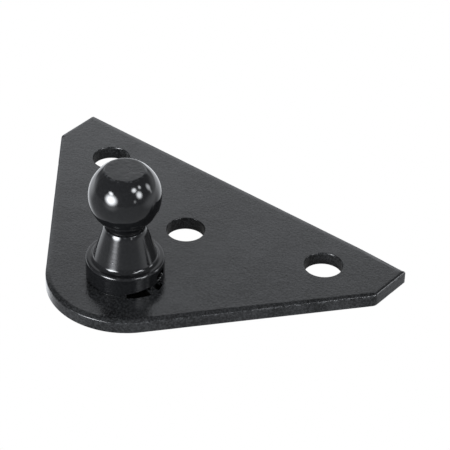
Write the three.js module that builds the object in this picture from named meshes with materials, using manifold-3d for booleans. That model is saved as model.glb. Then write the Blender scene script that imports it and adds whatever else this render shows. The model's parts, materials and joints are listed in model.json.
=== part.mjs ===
// Ball-stud mounting bracket for a gas spring: a triangular steel plate with three bolt holes, and a
// one-piece ball stud riveted through the plate's rounded corner.
//
// Units are millimetres. +Z runs along the stud towards its ball, +X along the plate's long back edge,
// and +Y from the stud towards that edge. The origin is where the stud's axis meets the plate's back.

import * as THREE from 'three';
import { mergeVertices } from 'three/addons/utils/BufferGeometryUtils.js';
import Module from 'manifold-3d';

// ---- Driving dimensions: plate ----
const PLATE_THICKNESS = 2.6;
const BACK_EDGE_LENGTH = 76;
const BACK_EDGE_Y = 33.4;
const END_LENGTH = 9.2; // short square ends, where the triangle's two sharp corners are cropped
const CORNER_RADIUS = 14.6; // the big round corner that carries the stud
const CORNER_CENTRE_Y = 0.4;
const HOLE_DIAMETER = 7.1; // clearance for an M6 or 1/4 in screw
const OUTER_HOLE_SPACING = 51.2;
const OUTER_HOLE_Y = 25;
const MIDDLE_HOLE_Y = 16.8;

// ---- Driving dimensions: stud, with heights above the plate's front face ----
const BALL_DIAMETER = 13;
const BALL_CENTRE_HEIGHT = 16.9;
const CROWN_DIAMETER = 7.2; // flat turned on top of the ball
const NECK_DIAMETER = 6.4; // undercut below the ball, which the socket's lip needs
const SHOULDER_DIAMETER = 7.5; // top of the cone
const SHOULDER_HEIGHT = 10.35;
const CONE_BASE_DIAMETER = 11.6; // where the cone's side would meet the collar without the fillet
const COLLAR_DIAMETER = 14.2;
const COLLAR_HEIGHT = 3.75;
const COLLAR_TOP_ROUND = 0.45;
const COLLAR_BASE_CHAMFER = 0.3;
const CONE_FILLET = 0.8;

// ---- Driving dimensions: riveted shank ----
const SHANK_DIAMETER = 8;
const TAIL_DIAMETER = 10.6; // peened flush into a countersink in the plate's back
const TAIL_DEPTH = 1.3;
const RIVET_CLEARANCE = 0.05; // on the radius, between the faceted shank and its seat

// ---- Facets ----
const TURN_SEGMENTS = 32; // around the stud and around each hole
const CORNER_SEGMENTS = 24;
const BALL_STEPS = 16; // along the ball's profile
const ROUND_STEPS = 3; // along each small edge round
const CUT_OVERRUN = 1; // how far a cutter runs past the face it opens

const BLACK_FINISH = { color: 0x2b2c2e, roughness: 0.45, metalness: 0.0 };
const BLACK_GLOSS_FINISH = { color: 0x1f2022, roughness: 0.25, metalness: 0.0 };

// Points on an arc about (centreR, centreZ) in the stud's (radius, height) half-plane, angles in degrees.
function arcPoints(centreR, centreZ, radius, fromDeg, toDeg, steps) {
  const points = [];
  for (let i = 0; i <= steps; i += 1) {
    const angle = THREE.MathUtils.degToRad(THREE.MathUtils.lerp(fromDeg, toDeg, i / steps));
    points.push(new THREE.Vector2(centreR + radius * Math.cos(angle), centreZ + radius * Math.sin(angle)));
  }
  return points;
}

// A turned solid about +Z from a profile that starts and ends on the axis, lowest point first.
function turned(profile) {
  const geometry = new THREE.LatheGeometry(profile, TURN_SEGMENTS);
  geometry.rotateX(Math.PI / 2);
  return geometry;
}

function toSolid(wasm, geometry) {
  const bare = geometry.clone();
  bare.deleteAttribute('normal');
  bare.deleteAttribute('uv');
  const merged = mergeVertices(bare);
  const mesh = new wasm.Mesh({
    numProp: 3,
    vertProperties: new Float32Array(merged.attributes.position.array),
    triVerts: new Uint32Array(merged.index.array),
  });
  mesh.merge();
  return new wasm.Manifold(mesh);
}

function toGeometry(solid) {
  const mesh = solid.getMesh();
  const geometry = new THREE.BufferGeometry();
  geometry.setAttribute('position', new THREE.BufferAttribute(mesh.vertProperties, mesh.numProp));
  geometry.setIndex(new THREE.BufferAttribute(mesh.triVerts, 1));
  geometry.computeVertexNormals();
  return geometry;
}

// The plate's outline: back edge, two cropped ends, and two sides that run tangent to the round corner.
function plateOutline() {
  const halfWidth = BACK_EDGE_LENGTH / 2;
  const endY = BACK_EDGE_Y - END_LENGTH;
  const reach = Math.hypot(halfWidth, endY - CORNER_CENTRE_Y);
  const bearing = Math.atan2(endY - CORNER_CENTRE_Y, halfWidth);
  const tangent = bearing - Math.acos(CORNER_RADIUS / reach);

  const outline = new THREE.Shape();
  outline.moveTo(-halfWidth, BACK_EDGE_Y);
  outline.lineTo(-halfWidth, endY);
  outline.absarc(0, CORNER_CENTRE_Y, CORNER_RADIUS, Math.PI - tangent, 2 * Math.PI + tangent, false);
  outline.lineTo(halfWidth, endY);
  outline.lineTo(halfWidth, BACK_EDGE_Y);
  outline.closePath();
  return outline;
}

function boltHole(x, y) {
  const hole = new THREE.Path();
  const points = [];
  for (let i = 0; i < TURN_SEGMENTS; i += 1) {
    const angle = (2 * Math.PI * i) / TURN_SEGMENTS;
    const radius = HOLE_DIAMETER / 2;
    points.push(new THREE.Vector2(x + radius * Math.cos(angle), y + radius * Math.sin(angle)));
  }
  hole.setFromPoints(points);
  hole.closePath();
  return hole;
}

// The stepped bore that the shank is riveted into: a straight bore with a countersink at the back.
function studSeatCutter() {
  const boreRadius = SHANK_DIAMETER / 2 + RIVET_CLEARANCE;
  const tailRadius = TAIL_DIAMETER / 2 + RIVET_CLEARANCE;
  return turned([
    new THREE.Vector2(0, -CUT_OVERRUN),
    new THREE.Vector2(tailRadius, -CUT_OVERRUN),
    new THREE.Vector2(tailRadius, 0),
    new THREE.Vector2(boreRadius, TAIL_DEPTH + RIVET_CLEARANCE),
    new THREE.Vector2(boreRadius, PLATE_THICKNESS + CUT_OVERRUN),
    new THREE.Vector2(0, PLATE_THICKNESS + CUT_OVERRUN),
  ]);
}

function mountingPlateGeometry(wasm) {
  const outline = plateOutline();
  outline.holes.push(boltHole(-OUTER_HOLE_SPACING / 2, OUTER_HOLE_Y));
  outline.holes.push(boltHole(0, MIDDLE_HOLE_Y));
  outline.holes.push(boltHole(OUTER_HOLE_SPACING / 2, OUTER_HOLE_Y));
  const blank = new THREE.ExtrudeGeometry(outline, {
    depth: PLATE_THICKNESS,
    bevelEnabled: false,
    curveSegments: CORNER_SEGMENTS / 2,
  });
  const plate = toSolid(wasm, blank).subtract(toSolid(wasm, studSeatCutter()));
  return toGeometry(plate);
}

// One turned piece: peened tail, shank, collar, cone, undercut neck and ball with a flat crown.
function ballStudGeometry() {
  const front = PLATE_THICKNESS;
  const shankRadius = SHANK_DIAMETER / 2;
  const collarRadius = COLLAR_DIAMETER / 2;
  const collarTop = front + COLLAR_HEIGHT;
  const coneBaseRadius = CONE_BASE_DIAMETER / 2;
  const coneLean = Math.atan2(CONE_BASE_DIAMETER - SHOULDER_DIAMETER, 2 * (SHOULDER_HEIGHT - COLLAR_HEIGHT));
  const filletSetback = CONE_FILLET / Math.tan((Math.PI / 2 + coneLean) / 2);
  const filletEndDeg = 180 + THREE.MathUtils.radToDeg(coneLean);
  const shoulderRadius = SHOULDER_DIAMETER / 2;
  const shoulderZ = front + SHOULDER_HEIGHT;
  const neckRadius = NECK_DIAMETER / 2;
  const ballRadius = BALL_DIAMETER / 2;
  const ballZ = front + BALL_CENTRE_HEIGHT;
  const neckDeg = -THREE.MathUtils.radToDeg(Math.acos(neckRadius / ballRadius));
  const crownDeg = THREE.MathUtils.radToDeg(Math.acos(CROWN_DIAMETER / 2 / ballRadius));
  const crownZ = ballZ + ballRadius * Math.sin(THREE.MathUtils.degToRad(crownDeg));

  const tailAndShank = [
    new THREE.Vector2(0, 0),
    new THREE.Vector2(TAIL_DIAMETER / 2, 0),
    new THREE.Vector2(shankRadius, TAIL_DEPTH),
    new THREE.Vector2(shankRadius, front),
  ];
  const collar = [
    new THREE.Vector2(collarRadius - COLLAR_BASE_CHAMFER, front),
    new THREE.Vector2(collarRadius, front + COLLAR_BASE_CHAMFER),
    ...arcPoints(
      collarRadius - COLLAR_TOP_ROUND, collarTop - COLLAR_TOP_ROUND, COLLAR_TOP_ROUND, 0, 90, ROUND_STEPS,
    ),
  ];
  const cone = [
    ...arcPoints(
      coneBaseRadius + filletSetback, collarTop + CONE_FILLET, CONE_FILLET, 270, filletEndDeg, ROUND_STEPS,
    ),
    new THREE.Vector2(shoulderRadius, shoulderZ),
    new THREE.Vector2(neckRadius, shoulderZ),
  ];
  const ball = arcPoints(0, ballZ, ballRadius, neckDeg, crownDeg, BALL_STEPS);
  const crown = [new THREE.Vector2(0, crownZ)];
  return turned([...tailAndShank, ...collar, ...cone, ...ball, ...crown]);
}

function namedMesh(name, geometry, finish) {
  const mesh = new THREE.Mesh(geometry, new THREE.MeshStandardMaterial(finish));
  mesh.name = name;
  return mesh;
}

const wasm = await Module();
wasm.setup();

const bracket = new THREE.Group();
bracket.add(namedMesh('mounting_plate', mountingPlateGeometry(wasm), BLACK_FINISH));
bracket.add(namedMesh('ball_stud', ballStudGeometry(), BLACK_GLOSS_FINISH));

export default bracket;
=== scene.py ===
"""A gas spring ball stud bracket: a stamped triangular plate and the ball stud riveted into it.

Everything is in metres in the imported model's frame: +Z along the stud towards its ball, +X along the
plate's back edge, and the origin where the stud's axis meets the plate's back face.
"""

import json
import math

import bmesh
import bpy
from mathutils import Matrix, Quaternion, Vector, noise


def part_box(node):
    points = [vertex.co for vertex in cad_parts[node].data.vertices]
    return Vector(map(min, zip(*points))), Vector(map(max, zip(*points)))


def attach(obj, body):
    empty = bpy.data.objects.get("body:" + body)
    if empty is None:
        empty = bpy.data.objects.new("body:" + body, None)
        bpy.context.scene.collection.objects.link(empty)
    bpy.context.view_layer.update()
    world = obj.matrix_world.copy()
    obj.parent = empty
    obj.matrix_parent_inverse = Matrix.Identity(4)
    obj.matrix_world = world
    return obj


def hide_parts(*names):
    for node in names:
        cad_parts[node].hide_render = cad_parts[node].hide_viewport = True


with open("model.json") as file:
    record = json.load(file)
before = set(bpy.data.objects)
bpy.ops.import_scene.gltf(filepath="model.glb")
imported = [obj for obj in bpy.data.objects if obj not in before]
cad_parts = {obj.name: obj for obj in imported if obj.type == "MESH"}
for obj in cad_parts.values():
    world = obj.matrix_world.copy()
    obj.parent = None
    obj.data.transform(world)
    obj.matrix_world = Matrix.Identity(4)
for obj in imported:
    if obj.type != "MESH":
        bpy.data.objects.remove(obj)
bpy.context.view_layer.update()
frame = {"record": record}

MM = 0.001

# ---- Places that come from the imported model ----
PLATE_LO, PLATE_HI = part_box("mounting_plate")
STUD_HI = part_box("ball_stud")[1]
FRONT_Z = PLATE_HI.z  # the plate's front face
BACK_Z = PLATE_LO.z
COLLAR_RADIUS = STUD_HI.x
CROWN_Z = STUD_HI.z
BOLT_HOLES = [
    tuple((low + high) / 2 for low, high in zip(*opening["box_m"]))[:2]
    for opening in frame["record"]["physics"]["openings"]
]

# ---- Plate ----
END_LENGTH = 9.2 * MM
NOSE_RADIUS = 14.6 * MM  # the big round corner that carries the stud
NOSE_CENTRE_Y = PLATE_LO.y + NOSE_RADIUS
BACK_CORNER_RADIUS = 0.3 * MM
SIDE_CORNER_RADIUS = 1.6 * MM
HOLE_RADIUS = 3.55 * MM
BORE_RADIUS = 4.05 * MM  # the stepped bore under the stud, with its countersink at the back
COUNTERSINK_RADIUS = 5.35 * MM
COUNTERSINK_DEPTH = 1.35 * MM
COUNTERSINK_CHAMFER = 0.05 * MM

ROLL_WIDTH = 1.10 * MM  # the front face rolls over towards its edge, as stamped sheet does
ROLL_DEPTH = 0.36 * MM
BACK_DEPTH = 0.07 * MM  # the roll's depth along the back edge, which dips at the right end
LEFT_END_DEPTH = 0.16 * MM  # and along the two cropped ends, where it is narrower too
RIGHT_END_DEPTH = 0.38 * MM
ROLL_POWER = 2.0  # how the roll steepens towards the edge
END_POWER = 6.0
SIDE_NARROWING = 0.35  # how far a side's roll narrows towards an end's, near the cropped corner
EDGE_ROUND = 0.15 * MM
BACK_ROUND = 0.14 * MM
HOLE_ROLL_WIDTH = 0.12 * MM
HOLE_ROLL_DEPTH = 0.08 * MM

WALL_INSET = 0.028  # millimetres that the sheared wall stands back, so that its streaks stay inside
WALL_STREAK = 0.018  # depth in millimetres of its long streaks, then of its grain and its lip's nicks
WALL_GRAIN = 0.010
LIP_NICK = 0.05
HOLE_GRAIN = 0.025 * MM

PLATE_STEP = 0.34 * MM  # spacing of points along the outline
ROLL_ROWS = 12
WALL_ROWS = 12
HOLE_STEPS = 72
HOLE_ROLL_ROWS = 4
HOLE_WALL_ROWS = 10

# ---- Stud, with heights above the plate's front face ----
BALL_RADIUS = 6.5 * MM
BALL_HEIGHT = 16.9 * MM
NECK_RADIUS = 3.2 * MM
NECK_FILLET = 0.06 * MM
SHOULDER_RADIUS = 3.7 * MM
SHOULDER_HEIGHT = 10.35 * MM
SHOULDER_ROUND = 0.10 * MM
BEVEL_LENGTH = 0.50 * MM  # the broken edge at the top of the cone, a little steeper than the cone's side
BEVEL_DEG = 22.0
CONE_BASE_RADIUS = 5.8 * MM
CONE_FILLET = 0.8 * MM
COLLAR_HEIGHT = 3.75 * MM
COLLAR_ROUND = 0.45 * MM
COLLAR_SEAM = 0.11 * MM  # the small open chamfer between the collar and the plate
CROWN_ROUND = 0.10 * MM
SHANK_RADIUS = 4.0 * MM
TAIL_RADIUS = 5.28 * MM
TAIL_DEPTH = 1.3 * MM
TAIL_DISH = 0.16 * MM
TAIL_RIPPLE = 0.012 * MM
TAIL_GRAIN = 0.02 * MM
TAIL_ROWS = 12
CROWN_RIM_RADIUS = BALL_RADIUS * 0.555  # where the crown's edge wears
WEAR_REACH = 0.35 * MM
TURN_STEPS = 192

# Hollows about the seam, sunk into the geometry and painted black as shade, each as the first and last
# angle about the stud. On the collar's wall they then have the bottom and top at the first angle and at
# the last. On the plate they have the reach out from the collar at the first angle and at the last.
WALL_HOLLOWS = [
    (-47.0, -9.0, (-0.2 * MM, 0.30 * MM), (-0.2 * MM, 0.85 * MM)),
    (1.0, 16.0, (-0.2 * MM, 0.70 * MM), (-0.2 * MM, 0.95 * MM)),
    (5.0, 22.0, (1.15 * MM, 2.45 * MM), (1.40 * MM, 2.75 * MM)),
]
PLATE_HOLLOWS = [
    (-48.0, -12.0, 0.60 * MM, 0.95 * MM),
    (-1.0, 14.0, 0.80 * MM, 0.50 * MM),
]
HOLLOW_DEPTH = 0.6 * MM
HOLLOW_LIP = 0.10 * MM
PLATE_HOLLOW_DEPTH = 0.35 * MM
HOLLOW_REACH = 1.4 * MM  # how far out from the collar the plate has rings fine enough for them
HOLLOW_RAGGED = 0.16 * MM
PLATE_HOLLOW_SIDE_DEG = 3.0  # how far in from its first and last angles a hollow reaches its full depth
WALL_HOLLOW_SIDE_DEG = 2.2
PAINTED_SHADE_SHARE = 0.3  # a face that is deeper than this share of a hollow is painted black as shade


def polar(radius, degrees):
    angle = math.radians(degrees)
    return radius * math.cos(angle), radius * math.sin(angle)


def smoothstep(value):
    value = min(1.0, max(0.0, value))
    return value * value * (3 - 2 * value)


def wander(point, wavelength, seed):
    """Smooth noise from -1 to 1 at a point in metres, with bumps about one wavelength apart."""
    return noise.noise(Vector(point) / wavelength + Vector((seed, 3.7 * seed, 1.9 * seed)))


# ---- Mesh helpers ----


class Skin:
    """A closed mesh under construction. Each vertex has a wear value and a hollow value from 0 to 1."""

    def __init__(self):
        self.mesh = bmesh.new()
        self.wear = self.mesh.verts.layers.float.new("wear")
        self.hollow = self.mesh.verts.layers.float.new("hollow")

    def vert(self, point, wear=0.0, hollow=0.0):
        vertex = self.mesh.verts.new(point)
        vertex[self.wear] = wear
        vertex[self.hollow] = hollow
        return vertex

    def ring(self, points, wear=0.0):
        return [self.vert(point, wear) for point in points]

    def bridge(self, first, second):
        """Quads between two closed rings of the same length."""
        count = len(first)
        for i in range(count):
            j = (i + 1) % count
            self.mesh.faces.new((first[i], first[j], second[j], second[i]))

    def stack(self, rings):
        for first, second in zip(rings, rings[1:]):
            self.bridge(first, second)

    def cap(self, rings):
        """Fills the flat area inside the first ring and outside the others."""
        edges = []
        for ring in rings:
            for i, vertex in enumerate(ring):
                ends = (vertex, ring[(i + 1) % len(ring)])
                edges.append(self.mesh.edges.get(ends) or self.mesh.edges.new(ends))
        bmesh.ops.triangle_fill(self.mesh, use_beauty=True, edges=edges, normal=(0, 0, 1))

    def fan(self, ring, apex):
        count = len(ring)
        for i in range(count):
            self.mesh.faces.new((ring[i], ring[(i + 1) % count], apex))

    # Faces deep in a hollow, which are painted black as shade.
    def in_painted_shade_hollow(self, face):
        return sum(vertex[self.hollow] for vertex in face.verts) / len(face.verts) > PAINTED_SHADE_SHARE

    def finish(self, name, materials, choose=None):
        """The finished piece. choose gives a face's place in the list of materials."""
        bmesh.ops.recalc_face_normals(self.mesh, faces=self.mesh.faces[:])
        for face in self.mesh.faces:
            face.smooth = True
            if choose:
                face.material_index = choose(face)
        data = bpy.data.meshes.new(name)
        self.mesh.to_mesh(data)
        self.mesh.free()
        for material in materials:
            data.materials.append(material)
        piece = bpy.data.objects.new(name, data)
        bpy.context.scene.collection.objects.link(piece)
        weighted = piece.modifiers.new("weighted_normals", "WEIGHTED_NORMAL")
        weighted.weight = 60
        weighted.keep_sharp = True
        return piece


# ---- Plate ----


def plate_corners():
    """The outline's corners as (point, radius), counterclockwise from the back left."""
    half = PLATE_HI.x
    end_y = PLATE_HI.y - END_LENGTH
    rise = end_y - NOSE_CENTRE_Y
    side_angle = math.atan2(rise, half) - math.acos(NOSE_RADIUS / math.hypot(half, rise))
    nose_y = NOSE_CENTRE_Y + NOSE_RADIUS / math.sin(side_angle)
    return [
        (Vector((-half, PLATE_HI.y)), BACK_CORNER_RADIUS),
        (Vector((-half, end_y)), SIDE_CORNER_RADIUS),
        (Vector((0, nose_y)), NOSE_RADIUS),
        (Vector((half, end_y)), SIDE_CORNER_RADIUS),
        (Vector((half, PLATE_HI.y)), BACK_CORNER_RADIUS),
    ]


def outward(start, end):
    along = (end - start).normalized()
    return Vector((along.y, -along.x))


def plate_outline(inset):
    """(point, outward normal) pairs along the outline moved in by inset, always equally many."""
    corners = plate_corners()
    count = len(corners)
    arcs = []
    for i, (corner, radius) in enumerate(corners):
        before = outward(corners[i - 1][0], corner)
        after = outward(corner, corners[(i + 1) % count][0])
        reach = (before + after) / (1 + before.dot(after))
        left = max(radius - inset, 0.04 * MM)
        centre = corner - reach * inset - reach * left
        turn = math.atan2(before.x * after.y - before.y * after.x, before.dot(after))
        steps = max(6, round(radius * turn / PLATE_STEP))
        first = math.atan2(before.y, before.x)
        arc = []
        for step in range(steps + 1):
            angle = first + turn * step / steps
            normal = Vector((math.cos(angle), math.sin(angle)))
            arc.append((centre + normal * left, normal))
        arcs.append(arc)
    outline = []
    for i, arc in enumerate(arcs):
        outline += arc
        start, normal = arc[-1]
        end = arcs[(i + 1) % count][0][0]
        length = (corners[(i + 1) % count][0] - corners[i][0]).length
        steps = round(length / PLATE_STEP)
        for step in range(1, steps):
            outline.append((start.lerp(end, step / steps), normal))
    return outline


def plate_edge_rows():
    """The plate's edge as rows of (inset, height, roughness of the row, wear), from front to back."""
    rows = []
    for step in range(ROLL_ROWS + 1):
        inset = ROLL_WIDTH + (EDGE_ROUND * 0.3 - ROLL_WIDTH) * step / ROLL_ROWS
        depth = ROLL_DEPTH * (1 - inset / ROLL_WIDTH) ** ROLL_POWER
        rows.append((inset, FRONT_Z - depth, 0.25 * step / ROLL_ROWS, 0.0))
    lip_z = rows[-1][1]
    rows[-1] = (*rows[-1][:3], 0.8)
    rows.append((EDGE_ROUND * 0.08, lip_z - EDGE_ROUND * 0.45, 1.0, 1.0))
    wall_top = lip_z - EDGE_ROUND
    wall_foot = BACK_Z + BACK_ROUND
    for step in range(WALL_ROWS + 1):
        height = wall_top + (wall_foot - wall_top) * step / WALL_ROWS
        wear = 0.6 if step == 0 else 0.0
        rows.append((0.0, height, 1.0, wear))
    for degrees in (30, 60, 90):
        across, down = polar(BACK_ROUND, degrees)
        rows.append((BACK_ROUND - across, wall_foot - down, 0.6, 0.4))
    return rows


def roll_at(point, normal):
    """The roll's depth and power at a point on the edge: shallower at the back, narrower at the ends."""
    reach = point.x / PLATE_HI.x
    back = smoothstep((normal.y - 0.5) / 0.45)
    end = smoothstep((abs(normal.x) - 0.82) / 0.15)
    end_depth = RIGHT_END_DEPTH if reach > 0 else LEFT_END_DEPTH
    back_depth = BACK_DEPTH + (RIGHT_END_DEPTH - BACK_DEPTH) * smoothstep((reach - 0.70) / 0.30)
    depth = ROLL_DEPTH + (end_depth - ROLL_DEPTH) * end
    depth += (back_depth - depth) * back
    narrowing = max(end, SIDE_NARROWING * smoothstep((abs(reach) - 0.5) / 0.4))
    power = ROLL_POWER + (END_POWER - ROLL_POWER) * narrowing * (1 - back)
    return depth, power


def edge_height(height, point, normal):
    """The height of a point on the edge, moved from the full roll to the roll at its own place."""
    depth, power = roll_at(point, normal)
    roll_end = FRONT_Z - ROLL_DEPTH
    if height >= roll_end:
        share = ((FRONT_Z - height) / ROLL_DEPTH) ** (1 / ROLL_POWER)
        return FRONT_Z - depth * share**power
    left = (height - BACK_Z) / (roll_end - BACK_Z)
    return BACK_Z + (FRONT_Z - depth - BACK_Z) * left


def plate_edge_rings(skin):
    """The rows round the outline. Sheared sheet is never even, so its wall and lip wander a little."""
    rings = []
    for inset, row_height, rough, wear in plate_edge_rows():
        points = []
        for point, normal in plate_outline(inset):
            height = edge_height(row_height, point, normal)
            place = (point.x, point.y, height * 12)
            streak = WALL_STREAK * wander(place, 3.0 * MM, 1.3)
            streak += WALL_GRAIN * wander(place, 0.9 * MM, 5.1)
            nick = max(0.0, wander((point.x, point.y, 0), 0.8 * MM, 8.4) - 0.25) * LIP_NICK * wear
            push = -(WALL_INSET + streak * rough + nick) * MM if rough else 0.0
            push = min(0.0, push)
            points.append((point.x + normal.x * push, point.y + normal.y * push, height))
        rings.append(skin.ring(points, wear))
    return rings


def hole_rings(skin, centre):
    """A punched bolt hole: a small roll at the front, a slightly torn wall and a sharp back rim."""
    rows = []
    for step in range(HOLE_ROLL_ROWS + 1):
        out = HOLE_ROLL_WIDTH * (1 - step / HOLE_ROLL_ROWS)
        depth = HOLE_ROLL_DEPTH * (1 - out / HOLE_ROLL_WIDTH) ** 2
        rows.append((out, FRONT_Z - depth, 0.0, 0.0))
    wall_top = FRONT_Z - HOLE_ROLL_DEPTH - EDGE_ROUND
    wall_foot = BACK_Z + BACK_ROUND
    for step in range(HOLE_WALL_ROWS + 1):
        height = wall_top + (wall_foot - wall_top) * step / HOLE_WALL_ROWS
        rows.append((-0.02 * MM, height, 1.0, 0.5 if step == 0 else 0.0))
    rows.append((BACK_ROUND * 0.7, BACK_Z, 0.0, 0.5))
    rings = []
    for out, height, rough, wear in rows:
        points = []
        for step in range(HOLE_STEPS):
            across, along = polar(1.0, 360.0 * step / HOLE_STEPS)
            place = (centre[0] + HOLE_RADIUS * across, centre[1] + HOLE_RADIUS * along, height * 5)
            radius = HOLE_RADIUS + out + rough * HOLE_GRAIN * wander(place, 1.2 * MM, 2.6)
            points.append((centre[0] + radius * across, centre[1] + radius * along, height))
        rings.append(skin.ring(points, wear))
    return rings


def turn_angles():
    return [360.0 * step / TURN_STEPS for step in range(TURN_STEPS)]


def signed(degrees):
    return (degrees + 180) % 360 - 180


def plate_hollow_share(degrees, out):
    """How deep the plate's front lies in a hollow, from 0 to 1, at an angle and a distance out."""
    share = 0.0
    for first, last, at_first, at_last in PLATE_HOLLOWS:
        along = (degrees - first) / (last - first)
        reach = at_first + (at_last - at_first) * along
        reach += HOLLOW_RAGGED * wander((COLLAR_RADIUS * math.radians(degrees), 0, 0), 0.9 * MM, 3.3)
        sides = min(degrees - first, last - degrees) / PLATE_HOLLOW_SIDE_DEG
        share = max(share, smoothstep(sides) * smoothstep((reach - out) / HOLLOW_LIP))
    return share


def seam_rings(skin):
    """Rings of the plate's front about the collar, sunk in the hollows about the seam, whose faces are
    painted black as shade.
    """
    rings = []
    count = round((HOLLOW_REACH + COLLAR_SEAM) / HOLLOW_LIP)
    for row in range(count):
        out = HOLLOW_REACH - HOLLOW_LIP * row
        ring = []
        for angle in turn_angles():
            hollow = plate_hollow_share(signed(angle), out)
            place = (*polar(COLLAR_RADIUS + out, angle), FRONT_Z - hollow * PLATE_HOLLOW_DEPTH)
            ring.append(skin.vert(place, 0.0, hollow))
        rings.append(ring)
    return rings


def bore_rings(skin):
    """The front about the seam, and the stepped bore that the shank is riveted into."""
    rows = [
        (BORE_RADIUS, FRONT_Z),
        (BORE_RADIUS, BACK_Z + COUNTERSINK_DEPTH),
        (COUNTERSINK_RADIUS, BACK_Z + COUNTERSINK_CHAMFER),
        (COUNTERSINK_RADIUS + COUNTERSINK_CHAMFER, BACK_Z),
    ]
    rings = seam_rings(skin)
    for radius, height in rows:
        rings.append(skin.ring([(*polar(radius, angle), height) for angle in turn_angles()]))
    return rings


def make_plate(coat, painted_shade_hollow):
    skin = Skin()
    edge = plate_edge_rings(skin)
    openings = [hole_rings(skin, centre) for centre in BOLT_HOLES]
    openings.append(bore_rings(skin))
    skin.stack(edge)
    for rings in openings:
        skin.stack(rings)
    skin.cap([edge[0]] + [rings[0] for rings in openings])
    skin.cap([edge[-1]] + [rings[-1] for rings in openings])
    # Faces deep in a hollow take the black painted shade material.
    plate = skin.finish("stamped_plate", [coat, painted_shade_hollow], lambda face: int(skin.in_painted_shade_hollow(face)))
    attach(plate, "root")
    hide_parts("mounting_plate")


# ---- Stud ----


def arc(centre_r, centre_z, radius, start_deg, end_deg, steps):
    """Profile points (radius, height) along an arc, both ends included."""
    points = []
    for step in range(steps + 1):
        across, up = polar(radius, start_deg + (end_deg - start_deg) * step / steps)
        points.append((centre_r + across, centre_z + up))
    return points


def straight(start, end, steps):
    """Profile points between two others, neither included."""
    points = []
    for step in range(1, steps):
        share = step / steps
        points.append((start[0] + (end[0] - start[0]) * share, start[1] + (end[1] - start[1]) * share))
    return points


def tail_profile():
    """The peened tail, dished by the riveting tool, and the shank."""
    dish = []
    for step in range(1, TAIL_ROWS + 1):
        share = step / TAIL_ROWS
        ripple = TAIL_RIPPLE * math.cos(share * 8 * math.pi)
        height = BACK_Z + TAIL_DISH * (1 - share**3) + ripple + TAIL_GRAIN
        dish.append((TAIL_RADIUS * 0.94 * share, height))
    rim = [(TAIL_RADIUS * 0.985, BACK_Z + 0.03 * MM), (TAIL_RADIUS, BACK_Z + 0.09 * MM)]
    shank = [(SHANK_RADIUS, BACK_Z + TAIL_DEPTH), (SHANK_RADIUS, FRONT_Z + 0.01 * MM)]
    return dish + rim + shank


def collar_profile():
    """From the seam on the plate to the ledge on top of the collar."""
    seam = [
        (COLLAR_RADIUS - 1.2 * MM, FRONT_Z + 0.01 * MM),
        (COLLAR_RADIUS - COLLAR_SEAM, FRONT_Z + 0.01 * MM),
        (COLLAR_RADIUS, FRONT_Z + COLLAR_SEAM),
    ]
    top = FRONT_Z + COLLAR_HEIGHT
    wall_end = (COLLAR_RADIUS, top - COLLAR_ROUND)
    rounded = arc(COLLAR_RADIUS - COLLAR_ROUND, top - COLLAR_ROUND, COLLAR_ROUND, 0, 90, 8)
    return seam + straight(seam[-1], wall_end, 40) + rounded


def cone_profile():
    """The fillet at the foot of the cone, its straight side, and the broken edge of its shoulder."""
    top = FRONT_Z + COLLAR_HEIGHT
    bevel = math.radians(BEVEL_DEG)
    bevel_foot = (
        SHOULDER_RADIUS + BEVEL_LENGTH * math.sin(bevel),
        FRONT_Z + SHOULDER_HEIGHT - BEVEL_LENGTH * math.cos(bevel),
    )
    lean = math.atan2(CONE_BASE_RADIUS - bevel_foot[0], bevel_foot[1] - top)
    setback = CONE_FILLET / math.tan((math.pi / 2 + lean) / 2)
    foot = arc(
        CONE_BASE_RADIUS + setback,
        top + CONE_FILLET,
        CONE_FILLET,
        270,
        180 + math.degrees(lean),
        12,
    )
    edge = arc(
        SHOULDER_RADIUS - SHOULDER_ROUND,
        FRONT_Z + SHOULDER_HEIGHT - SHOULDER_ROUND,
        SHOULDER_ROUND,
        BEVEL_DEG,
        90,
        6,
    )
    side = straight(foot[-1], bevel_foot, 14) + [bevel_foot]
    return foot + side + straight(bevel_foot, edge[0], 6) + edge


def ball_profile():
    """The undercut neck, the ball, and the flat crown turned on it."""
    shoulder_z = FRONT_Z + SHOULDER_HEIGHT
    ball_z = FRONT_Z + BALL_HEIGHT
    crown_deg = math.degrees(math.asin((CROWN_Z - ball_z) / BALL_RADIUS))
    crown_radius = BALL_RADIUS * math.cos(math.radians(crown_deg))
    neck_deg = -math.degrees(math.acos(NECK_RADIUS / BALL_RADIUS))
    neck = arc(NECK_RADIUS + NECK_FILLET, shoulder_z + NECK_FILLET, NECK_FILLET, 270, 180, 4)
    ball = arc(0, ball_z, BALL_RADIUS, neck_deg, crown_deg - 1.2, 64)
    crown_edge = [
        (crown_radius - CROWN_ROUND * 0.35, CROWN_Z - CROWN_ROUND * 0.22),
        (crown_radius - CROWN_ROUND, CROWN_Z),
    ]
    crown = [(crown_radius * share, CROWN_Z) for share in (0.9, 0.75, 0.55, 0.35, 0.15)]
    return neck + ball + crown_edge + crown


def hollow_share(degrees, above):
    """How deep the collar's wall lies in a hollow, from 0 to 1, at an angle and a height."""
    share = 0.0
    for first, last, at_first, at_last in WALL_HOLLOWS:
        along = (degrees - first) / (last - first)
        low = at_first[0] + (at_last[0] - at_first[0]) * along
        high = at_first[1] + (at_last[1] - at_first[1]) * along
        sides = min(degrees - first, last - degrees) / WALL_HOLLOW_SIDE_DEG
        ends = min(above - low, high - above) / HOLLOW_LIP
        share = max(share, smoothstep(sides) * smoothstep(ends))
    return share


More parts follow.
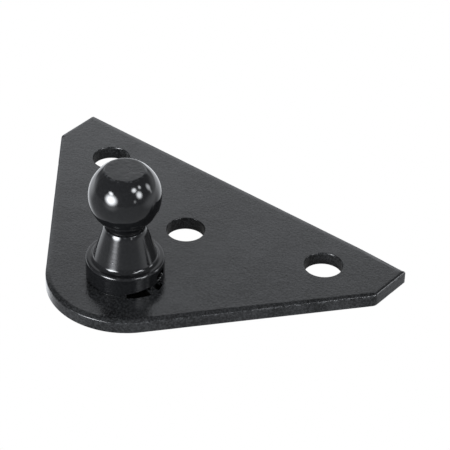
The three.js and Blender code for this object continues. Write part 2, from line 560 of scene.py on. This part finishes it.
def stud_point(radius, height, degrees):
    """One point of the stud's skin and its share of a hollow: the turned profile, a trace uneven."""
    across, along = polar(1.0, degrees)
    above = height - FRONT_Z
    hollow = 0.0
    if 0 <= above < COLLAR_HEIGHT - COLLAR_ROUND and radius > COLLAR_RADIUS - 0.2 * MM:
        hollow = hollow_share(signed(degrees), above)
        radius -= hollow * HOLLOW_DEPTH
    if height < BACK_Z + 0.4 * MM and radius < TAIL_RADIUS:
        height += TAIL_GRAIN * wander((radius * across, radius * along, 0), 1.1 * MM, 6.2)
        height = max(height, BACK_Z)
    return (radius * across, radius * along, height), hollow


def stud_wear(radius, height):
    """Wear on the edges that a socket rubs: the crown's rim, the shoulder and the collar's rim."""
    edges = [
        (CROWN_RIM_RADIUS, CROWN_Z),
        (SHOULDER_RADIUS, FRONT_Z + SHOULDER_HEIGHT),
        (COLLAR_RADIUS, FRONT_Z + COLLAR_HEIGHT),
    ]
    nearest = min(math.hypot(radius - edge_r, height - edge_z) for edge_r, edge_z in edges)
    return 1 - smoothstep(nearest / WEAR_REACH)


def stud_finish(skin, face):
    """Which of the stud's materials a face takes: burnished, turned, faced, the neck's painted shade, or
    the hollows' black painted shade.
    """
    # Faces deep in a hollow are painted black as shade.
    if skin.in_painted_shade_hollow(face):
        return 4
    middle = face.calc_center_median()
    radius = math.hypot(middle.x, middle.y)
    above = middle.z - FRONT_Z
    if middle.z > CROWN_Z - 0.01 * MM:
        return 2
    # The undercut neck takes its painted shade.
    if SHOULDER_HEIGHT - SHOULDER_ROUND < above and radius < NECK_RADIUS * 1.06:
        return 3
    if COLLAR_HEIGHT + CONE_FILLET < above < SHOULDER_HEIGHT - SHOULDER_ROUND - BEVEL_LENGTH:
        return 1
    return 0


def make_stud(materials):
    skin = Skin()
    profile = tail_profile() + collar_profile() + cone_profile() + ball_profile()
    rings = []
    for radius, height in profile:
        wear = stud_wear(radius, height)
        ring = []
        for angle in turn_angles():
            point, hollow = stud_point(radius, height, angle)
            ring.append(skin.vert(point, wear, hollow))
        rings.append(ring)
    skin.stack(rings)
    skin.fan(rings[0], skin.vert((0, 0, BACK_Z + TAIL_DISH)))
    skin.fan(rings[-1], skin.vert((0, 0, CROWN_Z)))
    stud = skin.finish("turned_ball_stud", materials, lambda face: stud_finish(skin, face))
    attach(stud, "root")
    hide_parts("ball_stud")


# ---- Shader helpers ----


class Shader:
    """Makes and links nodes. An input is a plain value or another node's output socket."""

    def __init__(self, tree):
        self.tree = tree
        tree.nodes.clear()

    def node(self, kind, inputs=None, **settings):
        made = self.tree.nodes.new(kind)
        for name, value in settings.items():
            setattr(made, name, value)
        for name, value in (inputs or {}).items():
            if isinstance(value, bpy.types.NodeSocket):
                self.tree.links.new(value, made.inputs[name])
            else:
                made.inputs[name].default_value = value
        return made

    def math(self, operation, first, second=0.0):
        return self.node("ShaderNodeMath", {0: first, 1: second}, operation=operation).outputs[0]

    def span(self, value, low, high, to_low=0.0, to_high=1.0):
        """Maps low..high to to_low..to_high smoothly, held at both ends."""
        inputs = {"Value": value, "From Min": low, "From Max": high, "To Min": to_low, "To Max": to_high}
        made = self.node("ShaderNodeMapRange", inputs, interpolation_type="SMOOTHSTEP")
        return made.outputs["Result"]

    def dot(self, vector, axis):
        made = self.node("ShaderNodeVectorMath", {0: vector, 1: axis}, operation="DOT_PRODUCT")
        return made.outputs["Value"]

    def mix_color(self, share, first, second):
        made = self.node("ShaderNodeMix", {"Factor": share, "A": first, "B": second}, data_type="RGBA")
        return made.outputs["Result"]

    def place_mm(self, stretch=(1.0, 1.0, 1.0)):
        """The point on the surface in millimetres, with each axis stretched."""
        where = self.node("ShaderNodeTexCoord").outputs["Object"]
        factors = tuple(axis / MM for axis in stretch)
        made = self.node("ShaderNodeVectorMath", {0: where, 1: factors}, operation="MULTIPLY")
        return made.outputs["Vector"]

    def grain(self, place, wavelength_mm, detail=2.0, roughness=0.5):
        inputs = {"Vector": place, "Scale": 1 / wavelength_mm, "Detail": detail, "Roughness": roughness}
        return self.node("ShaderNodeTexNoise", inputs).outputs["Fac"]

    def bump(self, height, depth_mm, normal=None):
        inputs = {"Height": height, "Distance": depth_mm * MM, "Strength": 1.0}
        if normal is not None:
            inputs["Normal"] = normal
        return self.node("ShaderNodeBump", inputs).outputs["Normal"]


def new_material(name):
    material = bpy.data.materials.new(name)
    material.use_nodes = True
    return material, Shader(material.node_tree)


def coated_steel(name, dark, light, worn, gloss, dull, relief):
    """Black electro-coat on steel. dark and light are the coat's colours, worn is the colour where an
    edge has rubbed thin, gloss and dull are the roughness limits, and relief lists bump layers as
    (stretch, wavelength in mm, detail, depth in mm)."""
    material, shader = new_material(name)
    place = shader.place_mm()
    cloud = shader.span(shader.grain(place, 7.0, 3.0), 0.36, 0.64)
    speck = shader.span(shader.grain(place, 0.42, 3.0, 0.7), 0.40, 0.64)
    tone = shader.math("ADD", shader.math("MULTIPLY", cloud, 0.3), shader.math("MULTIPLY", speck, 0.7))
    coat = shader.mix_color(tone, (*dark, 1), (*light, 1))

    edge = shader.node("ShaderNodeAttribute", attribute_name="wear").outputs["Fac"]
    patchy = shader.span(shader.grain(place, 0.9, 4.0, 0.65), 0.48, 0.62)
    rubbed = shader.math("MULTIPLY", edge, patchy)
    color = shader.mix_color(shader.math("MULTIPLY", rubbed, 0.7), coat, (*worn, 1))

    smudge = shader.grain(place, 4.0, 4.0, 0.6)
    sheen = shader.span(smudge, 0.35, 0.68, gloss, dull)
    roughness = shader.math("SUBTRACT", sheen, shader.math("MULTIPLY", rubbed, 0.05))

    normal = None
    for stretch, wavelength, detail, depth in relief:
        height = shader.grain(shader.place_mm(stretch), wavelength, detail)
        normal = shader.bump(height, depth, normal)
    pits = shader.node("ShaderNodeTexVoronoi", {"Vector": place, "Scale": 0.45}, feature="F1")
    pit = shader.span(pits.outputs["Distance"], 0.02, 0.09)
    normal = shader.bump(pit, 0.012, normal)

    surface = shader.node(
        "ShaderNodeBsdfPrincipled",
        {"Base Color": color, "Roughness": roughness, "IOR": 1.45, "Normal": normal},
    )
    shader.node("ShaderNodeOutputMaterial", {"Surface": surface.outputs[0]})
    return material


def painted_shade_hollow_material():
    """Painted shade for the hollows about the seam: near-black, with no reflection, so it gives back
    almost no light.
    """
    material, shader = new_material("painted_shade_hollow")
    crumb = shader.span(shader.grain(shader.place_mm(), 0.25, 3.0), 0.4, 0.7)
    color = shader.mix_color(crumb, (0.0002, 0.0002, 0.0002, 1), (0.0020, 0.0019, 0.0018, 1))
    surface = shader.node(
        "ShaderNodeBsdfPrincipled",
        {"Base Color": color, "Roughness": 1.0, "Specular IOR Level": 0.0},
    )
    shader.node("ShaderNodeOutputMaterial", {"Surface": surface.outputs[0]})
    return material


def plate_material():
    relief = [
        ((1.0, 1.0, 1.0), 9.0, 1.0, 0.015),
        ((1.0, 1.0, 1.0), 1.5, 2.0, 0.016),
        ((1.0, 1.0, 1.0), 0.45, 3.0, 0.0240),
        ((0.2, 0.2, 3.0), 0.5, 2.0, 0.010),
    ]
    return coated_steel(
        "black_coated_sheet",
        dark=(0.0006, 0.0007, 0.0008),
        light=(0.0170, 0.0175, 0.0182),
        worn=(0.055, 0.056, 0.058),
        gloss=0.12,
        dull=0.20,
        relief=relief,
    )


def turned_material():
    relief = [
        ((1.0, 1.0, 1.0), 2.2, 1.0, 0.0030),
        ((0.10, 0.10, 3.2), 0.9, 2.0, 0.0030),
    ]
    return coated_steel(
        "black_coated_turned_steel",
        dark=(0.0035, 0.0036, 0.0039),
        light=(0.0062, 0.0064, 0.0068),
        worn=(0.035, 0.036, 0.038),
        gloss=0.10,
        dull=0.14,
        relief=relief,
    )


def burnished_material():
    relief = [
        ((1.0, 1.0, 1.0), 2.2, 1.0, 0.0030),
        ((1.0, 1.0, 1.0), 0.4, 2.0, 0.0006),
    ]
    return coated_steel(
        "black_coated_burnished_steel",
        dark=(0.0030, 0.0031, 0.0034),
        light=(0.0055, 0.0057, 0.0061),
        worn=(0.035, 0.036, 0.038),
        gloss=0.07,
        dull=0.11,
        relief=relief,
    )


def faced_material():
    """The crown, faced off square and left a little coarse."""
    relief = [
        ((1.0, 1.0, 1.0), 2.0, 1.0, 0.0300),
        ((1.0, 1.0, 1.0), 0.7, 3.0, 0.0500),
    ]
    return coated_steel(
        "black_coated_faced_steel",
        dark=(0.0010, 0.0011, 0.0012),
        light=(0.0050, 0.0052, 0.0056),
        worn=(0.035, 0.036, 0.038),
        gloss=0.26,
        dull=0.38,
        relief=relief,
    )


def neck_painted_shade_material():
    """The undercut neck, painted near-black with a weak, dull reflection as painted shade under the ball.
    """
    material, shader = new_material("black_coated_neck_painted_shade")
    place = shader.place_mm()
    dark = (0.0008, 0.0008, 0.0010, 1)
    light = (0.0030, 0.0030, 0.0033, 1)
    color = shader.mix_color(shader.grain(place, 0.6, 3.0), dark, light)
    surface = shader.node(
        "ShaderNodeBsdfPrincipled",
        {
            "Base Color": color,
            "Roughness": 0.42,
            "Specular IOR Level": 0.15,
            "Normal": shader.bump(shader.grain(place, 0.5, 2.0), 0.004),
        },
    )
    shader.node("ShaderNodeOutputMaterial", {"Surface": surface.outputs[0]})
    return material


# ---- Studio ----

BACKDROP_DIRECTION = Vector((-0.618, 0.786, 0.0))  # level, away from the camera
ROOM_LIGHT = 0.28
BACKDROP_LIGHT = 1.80
FLOOR_LIGHT = 0.50
FAR_FLOOR_LIGHT = 1.60  # the floor in front of the backdrop
SHADED_FLOOR_LIGHT = 0.16  # under the plate, seen only through its holes
STUDIO_TINT = (0.965, 0.99, 1.03, 1)

# Where each light fades in, as the cosine towards the backdrop or the sine above the horizon.
BACKDROP_FACING = (0.60, 0.95)
BACKDROP_RISE = (0.10, 0.32)
FAR_FLOOR_FACING = (0.25, 0.85)
FLOOR_RISE = -0.10

# Lamps as (azimuth, elevation, width and height in degrees, brightness at the middle).
LAMPS = [
    (-93.5, 11.6, 50, 40, 36.0),
    (-101.0, 29.0, 22, 12, 28.0),
    (-92.0, -8.0, 56, 34, 1.2),
    (72.0, 2.0, 70, 50, 0.5),
    (34.0, -8.0, 76, 44, 0.7),
    (-173.0, -6.0, 46, 44, 0.9),
    (-9.0, 44.0, 20, 18, 24.0),
    (2.0, 25.0, 24, 28, 22.0),
    (19.0, 42.0, 12, 13, 13.0),
    (46.0, 21.0, 19, 24, 8.0),
    (45.0, 9.0, 10, 16, 3.0),
    (-18.0, 11.0, 10, 12, 5.0),
]


def aimed(azimuth_deg, elevation_deg):
    azimuth = math.radians(azimuth_deg)
    elevation = math.radians(elevation_deg)
    level = math.cos(elevation)
    return Vector((level * math.cos(azimuth), level * math.sin(azimuth), math.sin(elevation)))


def lamp_glow(shader, ray, azimuth_deg, elevation_deg, width_deg, height_deg, brightness):
    """The brightness along a ray of one soft oval lamp, which fades from its middle to its rim."""
    aim = aimed(azimuth_deg, elevation_deg)
    side = aim.cross(Vector((0, 0, 1))).normalized()
    rise = side.cross(aim)
    across = shader.math("DIVIDE", shader.dot(ray, side), math.sin(math.radians(width_deg / 2)))
    up = shader.math("DIVIDE", shader.dot(ray, rise), math.sin(math.radians(height_deg / 2)))
    squares = shader.math("ADD", shader.math("MULTIPLY", across, across), shader.math("MULTIPLY", up, up))
    spread = shader.math("SQRT", squares)
    inside = shader.span(spread, 1.0, 0.25, 0.0, brightness)
    ahead = shader.math("GREATER_THAN", shader.dot(ray, aim), 0.0)
    return shader.math("MULTIPLY", inside, ahead)


def light_studio():
    """A dim room, a bright backdrop, a pale floor all round and the lamps."""
    world = bpy.data.worlds.new("studio")
    world.use_nodes = True
    bpy.context.scene.world = world
    shader = Shader(world.node_tree)
    ray = shader.node("ShaderNodeTexCoord").outputs["Generated"]
    rise = shader.dot(ray, Vector((0, 0, 1)))
    facing = shader.dot(ray, BACKDROP_DIRECTION)
    backdrop = shader.span(facing, *BACKDROP_FACING, 0.0, BACKDROP_LIGHT - ROOM_LIGHT)
    backdrop = shader.math("MULTIPLY", backdrop, shader.span(rise, *BACKDROP_RISE))
    room = shader.math("ADD", backdrop, ROOM_LIGHT)
    above_floor = shader.span(rise, FLOOR_RISE, 0.0)
    far = shader.span(facing, *FAR_FLOOR_FACING, FLOOR_LIGHT, FAR_FLOOR_LIGHT)
    floor_glow = shader.math("MULTIPLY", far, shader.span(rise, 0.0, FLOOR_RISE))
    total = shader.math("ADD", shader.math("MULTIPLY", room, above_floor), floor_glow)
    for lamp in LAMPS:
        total = shader.math("ADD", total, lamp_glow(shader, ray, *lamp))
    background = shader.node("ShaderNodeBackground", {"Color": STUDIO_TINT, "Strength": total})
    shader.node("ShaderNodeOutputWorld", {"Surface": background.outputs[0]})


SHADED_FLOOR_DROP = 0.01 * MM
SHADED_FLOOR_INSET = 0.8 * MM
BACKDROP_DROP = 0.02 * MM
DOME_RADIUS = 2.0


def make_shaded_floor():
    """The floor in the plate's own shade. Only reflections see it, through the bolt holes."""
    material, shader = new_material("shaded_floor")
    glow = shader.node("ShaderNodeEmission", {"Color": (1, 1, 1, 1), "Strength": SHADED_FLOOR_LIGHT})
    shader.node("ShaderNodeOutputMaterial", {"Surface": glow.outputs[0]})
    mesh = bmesh.new()
    height = BACK_Z - SHADED_FLOOR_DROP
    outline = plate_outline(SHADED_FLOOR_INSET)
    mesh.faces.new([mesh.verts.new((point.x, point.y, height)) for point, _ in outline])
    data = bpy.data.meshes.new("shaded_floor")
    mesh.to_mesh(data)
    mesh.free()
    data.materials.append(material)
    patch = bpy.data.objects.new("shaded_floor", data)
    bpy.context.scene.collection.objects.link(patch)
    patch.visible_camera = False
    patch.visible_shadow = False


def camera_only(piece):
    """Shown to the camera, but neither lit, shading nor mirrored."""
    piece.visible_diffuse = False
    piece.visible_glossy = False
    piece.visible_transmission = False
    piece.visible_volume_scatter = False
    piece.visible_shadow = False


def make_backdrop():
    """A plain white floor that runs up into a white dome."""
    material, shader = new_material("white_backdrop")
    glow = shader.node("ShaderNodeEmission", {"Color": (1, 1, 1, 1), "Strength": 1.0})
    shader.node("ShaderNodeOutputMaterial", {"Surface": glow.outputs[0]})
    mesh = bmesh.new()
    bmesh.ops.create_uvsphere(mesh, u_segments=48, v_segments=24, radius=DOME_RADIUS)
    for vertex in mesh.verts:
        vertex.co.z = max(vertex.co.z, BACK_Z - BACKDROP_DROP)
    bmesh.ops.remove_doubles(mesh, verts=mesh.verts[:], dist=1e-6)
    data = bpy.data.meshes.new("backdrop")
    mesh.to_mesh(data)
    mesh.free()
    data.materials.append(material)
    backdrop = bpy.data.objects.new("backdrop", data)
    bpy.context.scene.collection.objects.link(backdrop)
    camera_only(backdrop)


# ---- Camera ----

CAMERA_AZIMUTH = 38.18
CAMERA_ELEVATION = 36.64
CAMERA_ROLL = 1.79
CAMERA_DISTANCE = 397.6 * MM
CAMERA_LENS = 172.2
AIM_ACROSS = 4.6 * MM  # the aim point on the plate's front, from the middle of the plate
AIM_BACK = 13.0 * MM


def set_camera():
    azimuth = math.radians(CAMERA_AZIMUTH)
    elevation = math.radians(CAMERA_ELEVATION)
    back = Vector((
        math.sin(azimuth) * math.cos(elevation),
        -math.cos(azimuth) * math.cos(elevation),
        math.sin(elevation),
    ))
    middle = (PLATE_LO + PLATE_HI) / 2
    target = Vector((middle.x + AIM_ACROSS, middle.y + AIM_BACK, FRONT_Z))
    data = bpy.data.cameras.new("camera")
    data.lens = CAMERA_LENS
    data.sensor_width = 36.0
    data.clip_start = 0.01
    data.clip_end = 10.0
    camera = bpy.data.objects.new("camera", data)
    bpy.context.scene.collection.objects.link(camera)
    camera.location = target + back * CAMERA_DISTANCE
    camera.rotation_mode = "QUATERNION"
    roll = Quaternion((0, 0, 1), math.radians(CAMERA_ROLL))
    camera.rotation_quaternion = (-back).to_track_quat("-Z", "Y") @ roll
    bpy.context.scene.camera = camera


# ---- Scene ----

bpy.context.scene.view_settings.view_transform = "Standard"
set_camera()
light_studio()
make_backdrop()
make_shaded_floor()
# Near-black painted shade, without reflection, for the hollows about the seam.
painted_shade_black = painted_shade_hollow_material()
make_plate(plate_material(), painted_shade_black)
make_stud([
    burnished_material(),
    turned_material(),
    faced_material(),
    # the neck, painted dark with a weak reflection as shade under the ball
    neck_painted_shade_material(),
    painted_shade_black,
])
